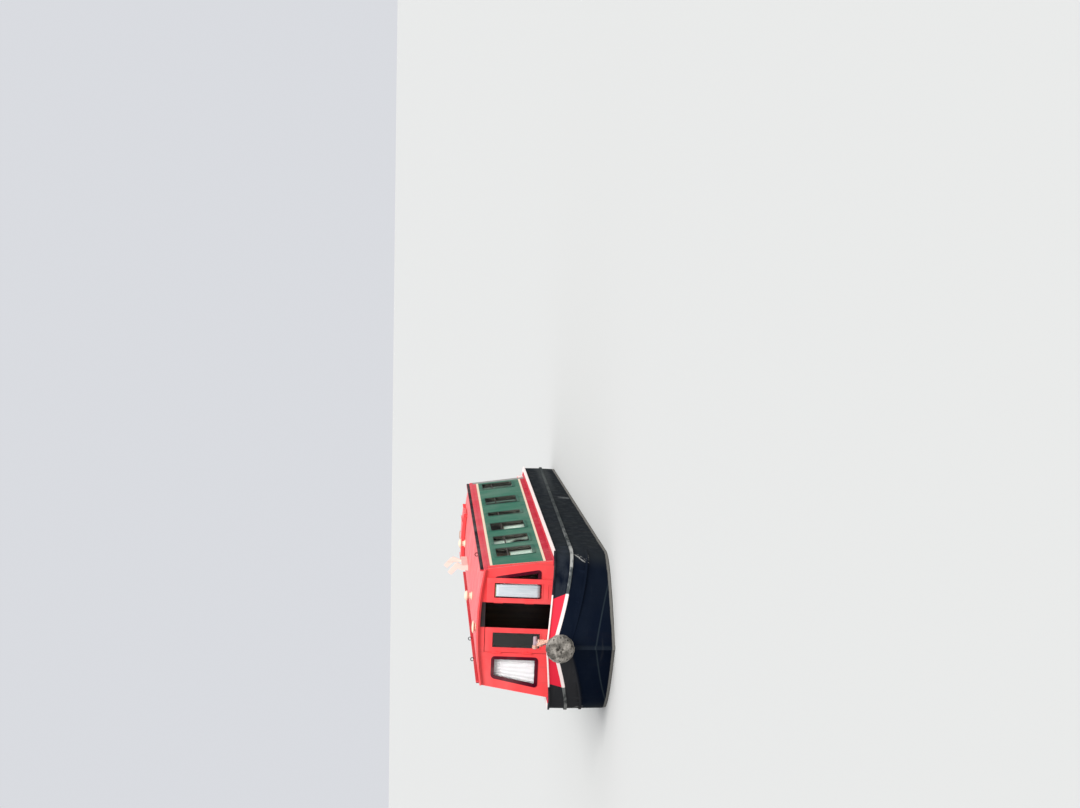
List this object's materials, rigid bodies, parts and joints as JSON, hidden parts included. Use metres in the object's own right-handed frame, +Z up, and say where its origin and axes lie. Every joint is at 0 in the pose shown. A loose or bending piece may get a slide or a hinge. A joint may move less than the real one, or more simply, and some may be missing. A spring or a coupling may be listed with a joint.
{
  "type": "narrowboat with a traditional stern",
  "caption": "Steel canal narrowboat with a long cabin, opening doors, a sliding hatch, a tiller with its rudder and a propeller.",
  "frame": {"origin": "under the base plate, midway along the boat and on its centre line", "axes": "+X forward to the bow, +Y to port, +Z up"},
  "size_m": [13.18, 2.084, 2.4393],
  "materials": {
    "hull_black": "semi-matt hull paint, scuffed",
    "red_paint": "gloss coach enamel",
    "green_paint": "gloss coach enamel",
    "cream_paint": "gloss coach enamel",
    "rail_paint": "gloss coach enamel",
    "deck_paint": "matt non-slip paint",
    "engine_paint": "painted casting",
    "floor_ply": "varnished ply",
    "window_frame": "dark anodised",
    "glass": "clear",
    "curtain": "light cotton",
    "brass": "polished, a little dull",
    "bronze": "cast, dull",
    "varnished_wood": "varnished",
    "rope": "weathered rope"
  },
  "bodies": {
    "hull": {"base_plate": "hull_black", "hull_side_port": "hull_black", "hull_side_starboard": "hull_black", "bow_shell": "hull_black", "swim_shell": "hull_black", "counter_shell": "hull_black", "skeg": "hull_black", "gunwale_port": "cream_paint", "gunwale_starboard": "cream_paint", "cabin_floor": "floor_ply", "well_deck": "deck_paint", "foredeck": "red_paint", "counter_deck": "deck_paint", "counter_cant": "red_paint", "roof": "red_paint", "handrail_port": "rail_paint", "handrail_starboard": "rail_paint", "mushroom_vent_1": "brass", "mushroom_vent_2": "brass", "mushroom_vent_3": "brass", "pole_rack": "cream_paint", "cabin_side_port": "green_paint", "cabin_side_starboard": "green_paint", "window_port_1": "window_frame", "window_port_2": "window_frame", "window_port_3": "window_frame", "window_port_4": "window_frame", "window_port_5": "window_frame", "window_port_6": "window_frame", "window_starboard_1": "window_frame", "window_starboard_2": "window_frame", "window_starboard_3": "window_frame", "window_starboard_4": "window_frame", "window_starboard_5": "window_frame", "window_starboard_6": "window_frame", "front_bulkhead": "red_paint", "front_window_port": "window_frame", "front_window_starboard": "window_frame", "rear_bulkhead": "red_paint", "engine": "engine_paint", "stern_dolly_port": "hull_black", "stern_dolly_starboard": "hull_black", "t_stud": "hull_black", "bow_fender": "rope", "stern_fender": "rope"},
    "front_leaf_port": {"front_door_port": "red_paint"},
    "front_leaf_starboard": {"front_door_starboard": "red_paint"},
    "rear_leaf_port": {"rear_door_port": "red_paint"},
    "rear_leaf_starboard": {"rear_door_starboard": "red_paint"},
    "hatch": {"sliding_hatch": "red_paint"},
    "steering": {"rudder": "hull_black", "tiller_neck": "red_paint", "tiller_arm": "brass"},
    "screw": {"propeller": "bronze"}
  },
  "joints": [
    {"name": "front_door_port", "type": "hinge", "parent": "hull", "child": "front_leaf_port", "pos_m": [5.009, 0.325, 1.4], "axis": [0, 0, -1], "range_deg": [0, 180]},
    {"name": "front_door_starboard", "type": "hinge", "parent": "hull", "child": "front_leaf_starboard", "pos_m": [5.009, -0.325, 1.4], "axis": [0, 0, -1], "range_deg": [0, 180]},
    {"name": "rear_door_port", "type": "hinge", "parent": "hull", "child": "rear_leaf_port", "pos_m": [-5.189, 0.345, 1.6], "axis": [0, 0, 1], "range_deg": [0, 180]},
    {"name": "rear_door_starboard", "type": "hinge", "parent": "hull", "child": "rear_leaf_starboard", "pos_m": [-5.189, -0.345, 1.6], "axis": [0, 0, -1], "range_deg": [0, 180]},
    {"name": "hatch_slide", "type": "slide", "parent": "hull", "child": "hatch", "axis": [-1, 0, 0], "range_m": [0, 0.78]},
    {"name": "tiller", "type": "hinge", "parent": "hull", "child": "steering", "pos_m": [-6.03, 0, 1.13], "axis": [0, 0, 1], "range_deg": [-40, 40]},
    {"name": "propeller_spin", "type": "hinge", "parent": "hull", "child": "screw", "pos_m": [-5.8, 0, 0.3], "axis": [1, 0, 0], "continuous": true}
  ]
}
